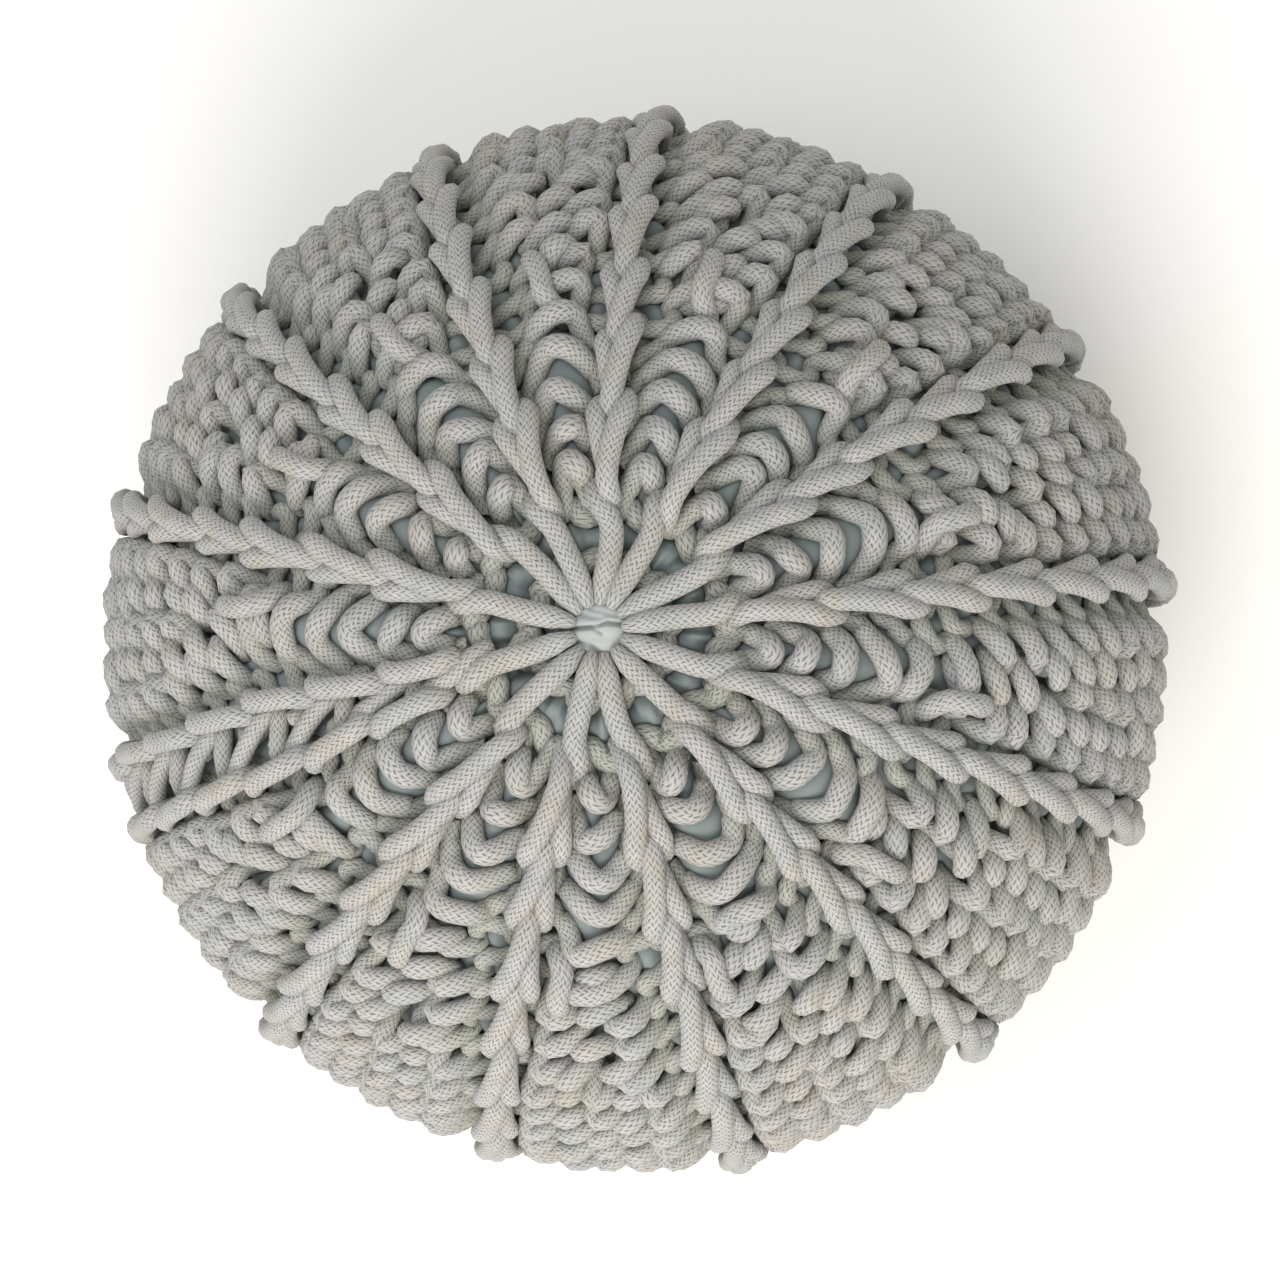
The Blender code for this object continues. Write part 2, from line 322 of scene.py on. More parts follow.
def knitRows():
    # each kind of stitch is worked out at once for all its places, then they are strung together row by row.
    # The azimuth is the stitch's middle plus its angle times across, the arc its row's plus outward; near the
    # base half of the rise is lost
    table = layStitches()
    middle, angle, kind, row = table.T
    kind = kind.astype(int)
    row = row.astype(int)
    arc = rowArcs[row]
    ribLoop = curveThrough(ribStitch["path"], samplesOf[1])
    behind = curveThrough(ribStitch["passingBehind"], samplesOf[2])
    counts = np.array(samplesOf)[kind]
    first = np.cumsum(counts) - counts
    across = np.zeros(counts.sum())
    outward = np.zeros(counts.sum())
    rise = np.zeros(counts.sum())
    for one, samples in enumerate(samplesOf):
        picked = np.nonzero(kind == one)[0]
        spots = first[picked][:, None] + np.arange(samples)
        if one == 0:
            shape = purlLoops(arc[picked], kind[picked - 1] != 0, kind[picked + 1] != 0)
        elif one < 3:
            loop = ribLoop if one == 1 else behind
            shape = (loop[:, 0] / ribStitch["width"], loop[:, 1], loop[:, 2])
        else:
            shape = rowEnds(row[picked], one == 4)
        across[spots], outward[spots], rise[spots] = shape
    stitch = np.repeat(np.arange(len(table)), counts)
    rowHere = row[stitch]
    azimuth = middle[stitch] + angle[stitch] * across
    arcHere = arc[stitch] + outward + waver(azimuth, rowHere, knitting["unevenness"])
    rise += waver(azimuth, rowHere, knitting["upAndDown"] * knitting["unevenness"])
    rise *= 1 - 0.5 * nearBase(arcHere) * (rise > 0)
    isRib = kind[stitch] == 1
    onTop = isRib * eased(rise, *knitting["onTop"])
    onCrown = knitting["crownFace"] * (1 - pastCrown(arcHere))
    onFace = (kind[stitch] == 0) * np.maximum(eased(rise, *knitting["onFace"]), onCrown)
    deep = smoothStep((knitting["pressedFrom"] - rise) / 0.008)
    thick = (1 + knitting["fuller"] * (onTop + onFace)) * (1 - knitting["pressed"] * deep)
    wide = 1 + knitting["ribNarrow"] * (onTop - isRib) + knitting["swollen"] * onFace
    shapes = {"arc": arcHere, "azimuth": azimuth, "rise": rise, "thick": thick, "wide": wide}
    cords = []
    for line in range(len(rowArcs)):
        cord = {key: values[rowHere == line] for key, values in shapes.items()}
        cord["group"] = next(name for name, stop in rowGroups.items() if line < stop)
        cords.append(cord)
    print("rows:", len(cords), "stitches:", len(table))
    return cords


# Thirteen cords run from the eye to the first rib stitches, and two more rounds lie behind them. Each pair is
# where something starts and over what length, along the casing or as shares of the spoke
spokes = {
    "start": 0.0116,
    "end": 0.0640,
    "samples": 16,
    "crowding": 1.25,  # the samples are closer together near the eye
    "sway": 0.05,
    "ripple": 0.02,
    "aside": 0.070,  # at its end it turns aside to the first rib stitch
    "turnsAside": (0.7, 0.3),
    "rise": 0.0052,
    "comesUp": (-0.02, 0.12),
    "below": 0.0050,  # how far it starts below that
    "belowTo": 0.06,
    "sinks": 0.0068,
    "sinking": (0.84, 0.16),
    "thick": 0.90,
    "thicker": 0.16,
    "thickens": (0.010, 0.016),
    "touching": 0.0172,  # nearer the eye than this they are squeezed
    "squeezed": (0.72, 1.06),
    "alternate": 0.0009,  # near the eye every second one lies higher and the others lower
    "alternating": (0.012, 0.014),
    "roundsBehind": (0.0290, 0.0525),
    "roundSamples": 160,
    "roundRise": -0.0025,
    "roundWave": 0.0022,
    "roundLift": 0.0010,
    "overlap": 0.1,
}


def drawSpokes():
    # straight outward from inside the eye: the height comes up steeply, stays level and sinks beside the
    # first rib stitch. The rounds behind go once about with a little overlap, their ends turned down; a sine
    # takes them in and out once for each rib
    share = np.linspace(0, 1, spokes["samples"])
    cords = []
    for side in ("top", "base"):
        for index, angle in enumerate(ribAngles):
            arc = spokes["start"] + (spokes["end"] - spokes["start"]) * share ** spokes["crowding"]
            wander = spokes["sway"] * dice.normal() * np.sin(np.pi * share)
            wander += spokes["ripple"] * np.sin(5 * share + index)
            wander += spokes["aside"] * eased(share, *spokes["turnsAside"])
            rise = spokes["rise"] * eased(share, *spokes["comesUp"])
            rise -= spokes["below"] * (1 - eased(share, 0, spokes["belowTo"]))
            rise -= spokes["sinks"] * eased(share, *spokes["sinking"])
            rise += spokes["alternate"] * (1 - 2 * (index % 2)) * (1 - eased(arc, *spokes["alternating"]))
            cord = {"group": "spokes", "azimuth": angle + wander, "rise": rise}
            cord["thick"] = spokes["thick"] + spokes["thicker"] * eased(arc, *spokes["thickens"])
            cord["wide"] = np.clip(arc / spokes["touching"], *spokes["squeezed"])
            cord["arc"] = arc if side == "top" else wholeArc - arc
            cords.append(cord)
        for number, place in enumerate(spokes["roundsBehind"]):
            first = seamAngle - spokes["overlap"]
            azimuth = np.linspace(first, seamAngle + 2 * np.pi + spokes["overlap"], spokes["roundSamples"])
            toEnd = np.minimum(azimuth - azimuth[0], azimuth[-1] - azimuth)
            arc = place + spokes["roundWave"] * np.sin(13 * azimuth + 1.3 * number)
            arc += waver(azimuth, np.full(len(azimuth), number), knitting["unevenness"])
            rise = spokes["roundRise"] + spokes["roundLift"] * np.sin(26 * azimuth)
            rise -= spokes["below"] * (1 - eased(toEnd, 0, 2 * spokes["overlap"]))
            arc = arc if side == "top" else wholeArc - arc
            cords.append({"group": "spokes", "arc": arc, "azimuth": azimuth, "rise": rise})
    return cords


# Where a stitch was added beside a rib, its loop lies on top of the rows
added = {
    "angles": (18, 45.5, 73.5, 100.5, 126.5, 151.5, 175.5, 210, 237, 263.5, 289.5, 319.5, 348.5),
    "start": 0.1420,
    "startUneven": 0.002,
    "length": 0.0290,
    "rise": 0.0105,
    "endsDown": 0.0150,
    "hook": 0.0070,  # how far its first end lies aside
    "hookEnds": 0.35,  # as a share of the length
    "slant": 0.012,
    "ripple": 0.01,
    "samples": 10,
}


def drawAddedStitches():
    # outward on the face of the rows by a cosine, with both ends turned down into them by the cube of the
    # distance from the middle
    share = np.linspace(0, 1, added["samples"])
    cords = []
    for index, angle in enumerate(np.radians(added["angles"])):
        start = added["start"] + added["startUneven"] * dice.normal()
        arc = start + added["length"] * (0.5 - 0.5 * np.cos(np.pi * share))
        rise = added["rise"] - added["endsDown"] * np.abs(2 * share - 1) ** 3
        hook = added["hook"] * (1 - eased(share, 0, added["hookEnds"])) / radiusAt(arc)
        azimuth = angle - hook + added["slant"] * dice.normal() * share
        azimuth += added["ripple"] * np.sin(3 * share + index)
        cords.append({"group": "addedStitches", "arc": arc, "azimuth": azimuth, "rise": rise})
    return cords


# Along the seam each edge of the knitting is a chain of long stitches, and a cord sews the two together
sewing = {
    "from": 0.0560,
    "toChain": 0.0142,  # from the middle of the seam
    "narrowing": (0.5, 0.075, 0.085, 0.3),
    "edge": 1.35,  # how wide the end of a row is, in halves of the seam
    "link": 0.0345,
    "leads": {-1: 0.002, 1: 0.014},  # where the first link of each chain starts
    "overlap": 1.10,  # how long a link is, in links
    "linkSlant": 0.0014,
    "linkUneven": 0.0006,
    "linkSamples": 13,
    "chainRise": 0.0108,
    "linkEndsDown": 0.0125,
    "pitch": 0.0345,
    "turnSamples": 24,
    "slant": 0.0098,
    "reach": 0.85,  # how far the sewing goes to each side, in halves of the seam
    "sewingRise": (0.0008, 0.0058, 0.0030),  # under a chain, on the slanting way and straight back
    "thick": 0.95,
}


def drawSeam():
    # a link is straight and level and turns down at both ends, by the sixth power of the distance from its
    # middle. The sewing cord zigzags: at a slant outward from the one chain to the other, then straight back
    cords = []
    share = np.linspace(-1, 1, sewing["linkSamples"])
    for side, lead in sewing["leads"].items():
        for start in np.arange(sewing["from"] + lead, baseEdge + 0.01, sewing["link"]):
            arc = start + sewing["link"] * (0.5 + 0.5 * sewing["overlap"] * share)
            aside = seamHalf(arc) + sewing["linkSlant"] * share
            aside += sewing["linkUneven"] * dice.normal()
            azimuth = seamAngle + side * aside / radiusAt(arc)
            rise = sewing["chainRise"] * (1 - 0.5 * nearBase(arc))
            rise -= sewing["linkEndsDown"] * share ** 6
            cords.append({"group": "seam", "arc": arc, "azimuth": azimuth, "rise": rise})
    whole = 2 * np.pi * (baseEdge - sewing["from"]) / sewing["pitch"]
    turn = np.arange(0, whole, 2 * np.pi / sewing["turnSamples"])
    arc = sewing["from"] + turn / (2 * np.pi) * sewing["pitch"] - sewing["slant"] * np.cos(turn)
    azimuth = seamAngle - sewing["reach"] * seamHalf(arc) * np.cos(turn) / radiusAt(arc)
    under, slanting, back = sewing["sewingRise"]
    rise = under + (np.where(np.sin(turn) > 0, slanting, back) - under) * np.abs(np.sin(turn))
    cords.append({"group": "seam", "arc": arc, "azimuth": azimuth, "rise": rise, "thick": sewing["thick"]})
    return cords


# The cords push each other out of the way
settling = {
    "passes": 45,
    "closest": 0.77,  # of a cord's thickness: the cotton gives that much where two cords press
    "near": 1.5,  # pairs further apart than this many thicknesses are left out
    "sameCord": 2,  # as are samples of one cord nearer than this along it
    "slab": 1500,
    "haste": 1.3,
    "stiff": 0.10,  # how much of a changed bend is undone at each pass
    "hold": 0.03,  # and of the way from where it was drawn
}


def touchingPairs(points, cordIds, lengths):
    # every sample against all the later ones, a slab at a time: squared distance is a squared plus b squared
    # less twice their product. Samples of one cord count once they are far enough apart along it
    firsts = []
    seconds = []
    limit = settling["near"] * pouf["cord"]
    flat = points.astype(np.float32)
    squares = np.sum(flat ** 2, axis=1)
    for low in range(0, len(flat), settling["slab"]):
        slab = slice(low, min(low + settling["slab"], len(flat)))
        apart = squares[slab, None] + squares[None, low:] - 2 * flat[slab] @ flat[low:].T
        one, two = np.nonzero(apart < limit ** 2)
        one = one + low
        two = two + low
        close = np.abs(lengths[one] - lengths[two]) < settling["sameCord"] * pouf["cord"]
        keep = (two > one) & ~((cordIds[one] == cordIds[two]) & close)
        firsts.append(one[keep])
        seconds.append(two[keep])
    return np.concatenate(firsts), np.concatenate(seconds)


def pathLengths(points):
    # from the first point to each one: the sum of the steps
    steps = np.linalg.norm(np.diff(points, axis=0), axis=1)
    return np.concatenate([[0], np.cumsum(steps)])


def settleCords(cords):
    # each pass moves two samples that are too near apart by half of what is missing, then eases each one back
    # towards the bend it had between its neighbours and towards where it was drawn
    for cord in cords:
        size = len(cord["arc"])
        cord["thick"] = np.broadcast_to(np.asarray(cord.get("thick", 1.06), float), size)
        cord["wide"] = np.broadcast_to(np.asarray(cord.get("wide", 1.0), float), size)
        cord["points"] = onCasing(cord["arc"], cord["azimuth"], cord["rise"])
        cord["normals"] = normalAt(cord["arc"], cord["azimuth"])
    drawn = np.concatenate([cord["points"] for cord in cords])
    thick = np.concatenate([cord["thick"] * np.minimum(cord["wide"], 1) for cord in cords]) * pouf["cord"]
    cordIds = np.repeat(np.arange(len(cords)), [len(cord["arc"]) for cord in cords])
    lengths = np.concatenate([pathLengths(cord["points"]) for cord in cords])
    one, two = touchingPairs(drawn, cordIds, lengths)
    print("cord samples:", len(drawn), "near pairs:", len(one))
    middle = 1 + np.nonzero((cordIds[1:-1] == cordIds[:-2]) & (cordIds[1:-1] == cordIds[2:]))[0]
    bend = drawn[middle] - 0.5 * (drawn[middle - 1] + drawn[middle + 1])
    spots = drawn.copy()
    size = len(spots)
    want = settling["closest"] * 0.5 * (thick[one] + thick[two])
    for step in range(settling["passes"]):
        between = spots[two] - spots[one]
        apart = np.maximum(np.linalg.norm(between, axis=1), 1e-6)
        push = 0.5 * np.maximum(want - apart, 0)[:, None] * between / apart[:, None]
        crowd = np.bincount(one, apart < want, size) + np.bincount(two, apart < want, size)
        crowd = np.maximum(crowd, 1)
        for axis in range(3):
            moved = np.bincount(two, push[:, axis], size) - np.bincount(one, push[:, axis], size)
            spots[:, axis] += settling["haste"] * moved / np.sqrt(crowd)
        curve = spots[middle] - 0.5 * (spots[middle - 1] + spots[middle + 1])
        spots[middle] -= settling["stiff"] * (curve - bend)
        spots += settling["hold"] * (drawn - spots)
    tooNear = np.mean(np.linalg.norm(spots[two] - spots[one], axis=1) < 0.9 * want)
    moved = 1000 * np.linalg.norm(spots - drawn, axis=1).mean()
    print("still too near:", round(float(tooNear), 4), "moved mm:", round(float(moved), 2))
    for index, cord in enumerate(cords):
        cord["points"] = spots[cordIds == index]
    return cords


def ringCorners(rings, sides):
    # for each cell between two rings: its first corner, the next one round, and the two on the next ring
    ring, side = np.meshgrid(np.arange(rings - 1), np.arange(sides), indexing="ij")
    here = (ring * sides + side).reshape(-1)
    beside = (ring * sides + (side + 1) % sides).reshape(-1)
    return here, beside, beside + sides, here + sides


def newPiece(name, points, faces, maps=None):
    # faces are tables of vertex numbers with three or four columns. They go in one after another as loops,
    # and each face starts where the corners before it end
    corners = np.concatenate([np.full(len(table), table.shape[1]) for table in faces])
    loops = np.concatenate([table.reshape(-1) for table in faces])
    mesh = bpy.data.meshes.new(name)
    mesh.vertices.add(len(points))
    mesh.vertices.foreach_set("co", points.astype(np.float32).reshape(-1))
    mesh.loops.add(len(loops))
    mesh.loops.foreach_set("vertex_index", loops.astype(np.int32))
    mesh.polygons.add(len(corners))
    mesh.polygons.foreach_set("loop_start", (np.cumsum(corners) - corners).astype(np.int32))
    if maps is not None:
        mesh.uv_layers.new(name="cordMap")
    mesh.update(calc_edges=True)
    if maps is not None:
        flatMap = np.concatenate(maps).astype(np.float32).reshape(-1)
        mesh.uv_layers["cordMap"].data.foreach_set("uv", flatMap)
    mesh.polygons.foreach_set("use_smooth", np.ones(len(corners), bool))
    mesh.validate()
    piece = bpy.data.objects.new(name, mesh)
    bpy.context.scene.collection.objects.link(piece)
    print(name, "faces:", len(corners))
    return piece


def addAttribute(piece, name, values):
    # one number for each vertex, for the material to read
    attribute = piece.data.attributes.new(name, "FLOAT", "POINT")
    attribute.data.foreach_set("value", values.astype(np.float32))


# The section of a cord
section = {
    "sides": 10,
    "across": 1.04,  # of its thickness: it is a little flattened
    "upright": 0.94,
    "tip": 0.45,  # how far a cord's end stands out, in half thicknesses
    "tipMap": 0.001,
    "sunkenFrom": 0.008,  # below this rise a cord counts as sunken and gets painted shade, fully 14 mm lower
}


def sweepCords(name, cords):
    # a rounded profile carried along each path: a ring stands square to the path, its upper side turned to
    # the casing's normal. The UV map is the length along the cord and the way round it, in metres
    sides = section["sides"]
    angles = np.arange(sides) / sides * 2 * np.pi - np.pi / 2
    around = np.arange(sides)
    following = (around + 1) % sides
    cellWidth = 2 * np.pi * 0.5 * pouf["cord"] / sides
    points = []
    faces = []
    maps = []
    sunkenShade = []
    offset = 0
    for cord in cords:
        path = cord["points"]
        count = len(path)
        along = np.gradient(path, axis=0)
        along /= np.linalg.norm(along, axis=1)[:, None]
        side = np.cross(cord["normals"], along)
        side /= np.maximum(np.linalg.norm(side, axis=1), 1e-6)[:, None]
        up = np.cross(along, side)
        half = 0.5 * pouf["cord"] * cord["thick"][:, None, None]
        ring = section["across"] * np.cos(angles)[None, :, None] * side[:, None, :]
        ring *= cord["wide"][:, None, None]
        ring += section["upright"] * np.sin(angles)[None, :, None] * up[:, None, :]
        rings = path[:, None, :] + half * ring
        firstTip = path[0] - section["tip"] * half[0, 0] * along[0]
        lastTip = path[-1] + section["tip"] * half[-1, 0] * along[-1]
        points.append(np.concatenate([rings.reshape(-1, 3), np.stack([firstTip, lastTip])]))
        last = (count - 1) * sides
        startCap = np.stack([np.full(sides, count * sides), following, around], -1)
        endCap = np.stack([np.full(sides, count * sides + 1), last + around, last + following], -1)
        faces.append(np.stack(ringCorners(count, sides), -1) + offset)
        faces.append(np.concatenate([startCap, endCap]) + offset)
        lengths = pathLengths(path)
        here, there = lengths[:-1].repeat(sides), lengths[1:].repeat(sides)
        alongMap = np.stack([here, here, there, there], -1)
        left = np.tile(around, count - 1)
        roundMap = np.stack([left, left + 1, left + 1, left], -1) * cellWidth
        maps.append(np.stack([alongMap, roundMap], -1).reshape(-1, 2))
        maps.append(np.tile([[0, 0], [section["tipMap"], 0], [section["tipMap"], 0]], (2 * sides, 1)))
        # painted shade for a cord that lies deep among the others
        deep = smoothStep((section["sunkenFrom"] - cord["rise"]) / 0.014)
        sunkenShade.append(np.concatenate([np.repeat(deep, sides), deep[[0, -1]]]))
        offset += count * sides + 2
    points = np.concatenate(points)
    points[:, 2] = np.maximum(points[:, 2], 0)  # pressed flat by the floor
    piece = newPiece(name, points, faces, maps)
    addAttribute(piece, "sunkenShade", np.concatenate(sunkenShade))
    return piece


# The casing is pressed in by the cords that lie on it and bulges between them
cloth = {
    "columns": 384,
    "step": 0.0034,
    "poleGap": 0.004,  # from the last ring to the middle of the base
    "eyeStart": 0.0006,
    "eyeEnd": 0.0180,
    "eyeStep": 0.0009,
    "eyeCloth": 0.0170,  # up to here the cloth is pushed out, fully 3 mm nearer the middle
    "bulge": 0.0034,
    "pressing": 1.15,  # how far round it a cord presses, in half thicknesses
    "clear": 0.0003,
    "deepest": 0.012,
    "dentRows": 3,  # grid cells that a cord can reach along the arc and round
    "dentColumns": 14,
    "smoothings": 2,
    "eased": 0.002,  # how far one smoothing may lift a dent
    "eyeRadius": 0.0129,
    "eyeRise": 0.0066,
    # each crease in the eye goes from one point to another and has a depth and a width, all in millimetres
    "creases": [
        (-12.0, 0.2, -2.0, 0.8, 3.6, 0.9),
        (-2.0, 0.8, 4.0, 2.6, 2.8, 0.8),
        (4.0, 2.6, 12.0, 1.6, 3.2, 0.9),
        (-1.5, 0.2, 1.5, -2.0, 1.6, 0.7),
        (-11.0, -4.5, -3.0, -7.0, 3.0, 1.0),
        (-3.0, -7.0, 2.5, -11.5, 3.2, 1.0),
        (-9.0, 6.5, 1.0, 4.5, 1.3, 1.3),
        (-3.0, 8.0, 7.0, 5.5, 1.1, 1.2),
        (-2.0, -4.0, 8.0, -3.5, 0.6, 1.8),
    ],
}


def eyeCloth(arc, azimuth):
    # a dome, 1 less the cube of the way out, less its creases, each a bell curve of the distance to its line
    share = np.clip(arc / cloth["eyeRadius"], 0, 1)
    x = arc * np.cos(azimuth) * 1000
    y = arc * np.sin(azimuth) * 1000
    level = cloth["eyeRise"] * (1 - share ** 3)
    folds = np.zeros_like(arc)
    for x0, y0, x1, y1, deep, wide in cloth["creases"]:
        length = (x1 - x0) ** 2 + (y1 - y0) ** 2
        along = np.clip(((x - x0) * (x1 - x0) + (y - y0) * (y1 - y0)) / length, 0, 1)
        away = np.hypot(x - x0 - along * (x1 - x0), y - y0 - along * (y1 - y0))
        folds = np.maximum(folds, deep / 1000 * np.exp(-(away / wide) ** 2))
    return level - folds


def dentedLevels(cords, arcs, azimuths):
    # heights on a grid of arcs and azimuths. A cord sample holds the grid below its round underside: its rise
    # less the root of its radius squared less the distance squared. Then the heights are smoothed with their
    # neighbours
    joined = {key: np.concatenate([cord[key] for cord in cords]) for key in ("points", "normals", "thick")}
    arc = np.concatenate([cord["arc"] for cord in cords])
    azimuth = np.concatenate([cord["azimuth"] for cord in cords])
    spots = joined["points"]
    normals = joined["normals"]
    press = cloth["pressing"] * 0.5 * pouf["cord"] * joined["thick"]
    shift = spots - onCasing(arc, azimuth, np.zeros(len(arc)))
    rise = np.sum(shift * normals, axis=1)
    tangent = np.stack([normals[:, 2] * np.cos(azimuth), normals[:, 2] * np.sin(azimuth),
                        -np.hypot(normals[:, 0], normals[:, 1])], -1)
    arc = arc + np.sum(shift * tangent, axis=1)
    azimuth = np.arctan2(spots[:, 1], spots[:, 0])
    rows = len(arcs)
    columns = len(azimuths)
    level = np.full((rows, columns), cloth["bulge"])
    nearRow = np.searchsorted(arcs, arc)
    nearColumn = np.round(azimuth / (2 * np.pi) * columns).astype(int)
    radius = np.maximum(radiusAt(arc), 0.005)
    for rowStep in range(-cloth["dentRows"], cloth["dentRows"] + 1):
        rowHere = np.clip(nearRow + rowStep, 0, rows - 1)
        for columnStep in range(-cloth["dentColumns"], cloth["dentColumns"] + 1):
            columnHere = (nearColumn + columnStep) % columns
            away = (azimuths[columnHere] - azimuth + np.pi) % (2 * np.pi) - np.pi
            off = np.hypot(arcs[rowHere] - arc, away * radius)
            near = off < press
            belly = np.sqrt(np.maximum(press[near] ** 2 - off[near] ** 2, 0))
            under = rise[near] - belly - cloth["clear"]
            np.minimum.at(level, (rowHere[near], columnHere[near]), under)
    level = np.maximum(level, -cloth["deepest"])
    for step in range(cloth["smoothings"]):
        beside = (np.roll(level, 1, 1) + np.roll(level, -1, 1)) / 2
        level = 0.5 * level + 0.5 * np.minimum(beside, level + cloth["eased"])
        padded = np.pad(level, ((1, 1), (0, 0)), mode="edge")
        level = 0.5 * level + 0.5 * np.minimum((padded[:-2] + padded[2:]) / 2, level + cloth["eased"])
    return level


def casingPiece(cords):
    # the dented heights on rings round the casing, mixed with the cloth of the eye near the middle, and a
    # point at each pole to close them
    columns = cloth["columns"]
    eyeArcs = np.arange(cloth["eyeStart"], cloth["eyeEnd"], cloth["eyeStep"])
    restArcs = np.arange(cloth["eyeEnd"], wholeArc - cloth["poleGap"], cloth["step"])
    arcs = np.concatenate([eyeArcs, restArcs])
    rows = len(arcs)
    azimuths = np.arange(columns) / columns * 2 * np.pi
    level = dentedLevels(cords, arcs, azimuths)
    arcGrid, azimuthGrid = np.meshgrid(arcs, azimuths, indexing="ij")
    inEye = smoothStep((cloth["eyeCloth"] - arcGrid) / 0.003)
    level = level * (1 - inEye) + inEye * eyeCloth(arcGrid, azimuthGrid)
    points = onCasing(arcGrid, azimuthGrid, level).reshape(-1, 3)
    poles = onCasing(np.array([0.0, wholeArc]), np.zeros(2), np.array([level[0].mean(), level[-1].mean()]))
    here, beside, besideAbove, above = ringCorners(rows, columns)
    around = np.arange(columns)
    following = (around + 1) % columns
    last = (rows - 1) * columns
    top = np.stack([np.full(columns, rows * columns), around, following], -1)
    bottom = np.stack([np.full(columns, rows * columns + 1), last + following, last + around], -1)
    faces = [np.stack([here, above, besideAbove, beside], -1), top, bottom]
    piece = newPiece("cottonCasing", np.concatenate([points, poles]), faces)
    # 1 in the eye, 0 where the casing gets painted shade between the cords
    addAttribute(piece, "shown", np.append(inEye.reshape(-1), [1, 0]))
    return piece


def addNode(tree, kind, values=None, links=None):
    # one node: a value whose key is a socket's name or number sets the socket, any other key a setting
    node = tree.nodes.new(kind)
    for key, value in (values or {}).items():
        if isinstance(key, int) or key in node.inputs:
            node.inputs[key].default_value = value
        else:
            setattr(node, key, value)
    for key, source in (links or {}).items():
        tree.links.new(source, node.inputs[key])
    return node.outputs[0]


def mathNode(tree, operation, *terms):
    # the operation on its terms in their order: each one is a number or another node's output
    values = {place: term for place, term in enumerate(terms) if isinstance(term, float)}
    links = {place: term for place, term in enumerate(terms) if not isinstance(term, float)}
    return addNode(tree, "ShaderNodeMath", {"operation": operation, **values}, links)


def noiseNode(tree, place, scale, detail, roughness=0.5):
    # noise of the place on the object; the scale is in lumps per metre
    values = {"Scale": scale, "Detail": detail, "Roughness": roughness}
    return addNode(tree, "ShaderNodeTexNoise", values, {"Vector": place})


def rangeNode(tree, source, limits, smooth=False):
    # from the first two limits to the last two, clamped, in a straight line or by a smooth step
    values = {"interpolation_type": "SMOOTHSTEP" if smooth else "LINEAR"}
    values.update(enumerate(limits, start=1))
    return addNode(tree, "ShaderNodeMapRange", values, {0: source})


def mixColours(tree, share, first, second):
    # from the first colour to the second by the share; either one is a colour or another node's output
    node = tree.nodes.new("ShaderNodeMix")
    node.data_type = "RGBA"
    tree.links.new(share, node.inputs["Factor"])
    for socket, colour in ((node.inputs[6], first), (node.inputs[7], second)):
        if isinstance(colour, str):
            socket.default_value = linearColour(colour)
        else:
            tree.links.new(colour, socket)
    return node.outputs[2]


def newMaterial(name):
    # a material with its node tree and its shader
    material = bpy.data.materials.new(name)
    material.use_nodes = True
    return material, material.node_tree, material.node_tree.nodes["Principled BSDF"]


# Braided cotton cord, tubular braid: matt and slightly fuzzy, with rows of small V's along it. Each strand is
# pale; painted shade darkens the gap beside it, most in a short dash where it dives under its neighbours. A
# range has the two limits of a pattern and the two values that they are turned into
braidLook = {
    "strand": "#acaaa9",
    # painted shade in the gaps between strands, darkest in the dashes
    "between": "#626258",
    "warm": "#a39c8c",
    "cool": "#969c9c",
    "deep": "#a1a398",  # painted shade: where it lies behind other cords it looks darker and more olive
    "columnWidth": 0.00283,  # of one column of V's round the cord, a tenth of the way round
    "pitch": 0.0032,  # from V to V along the cord
    "slant": 0.55,
    "shaking": 0.45,
    "edgeRange": (0.0, 0.30, 1.0, 0.0),
    "armRange": (0.0, 0.34, 0.0, 1.0),
    "dashRange": (0.32, 0.62, 0.34, 0.76),
    "groove": 0.28,  # how much painted shade the gap between two strands has without its dash
    "patchRange": (0.42, 0.62, 0.0, 1.0),
    "shadeRange": (0.35, 0.75, 0.0, 0.75),
    "roughness": 0.92,
}


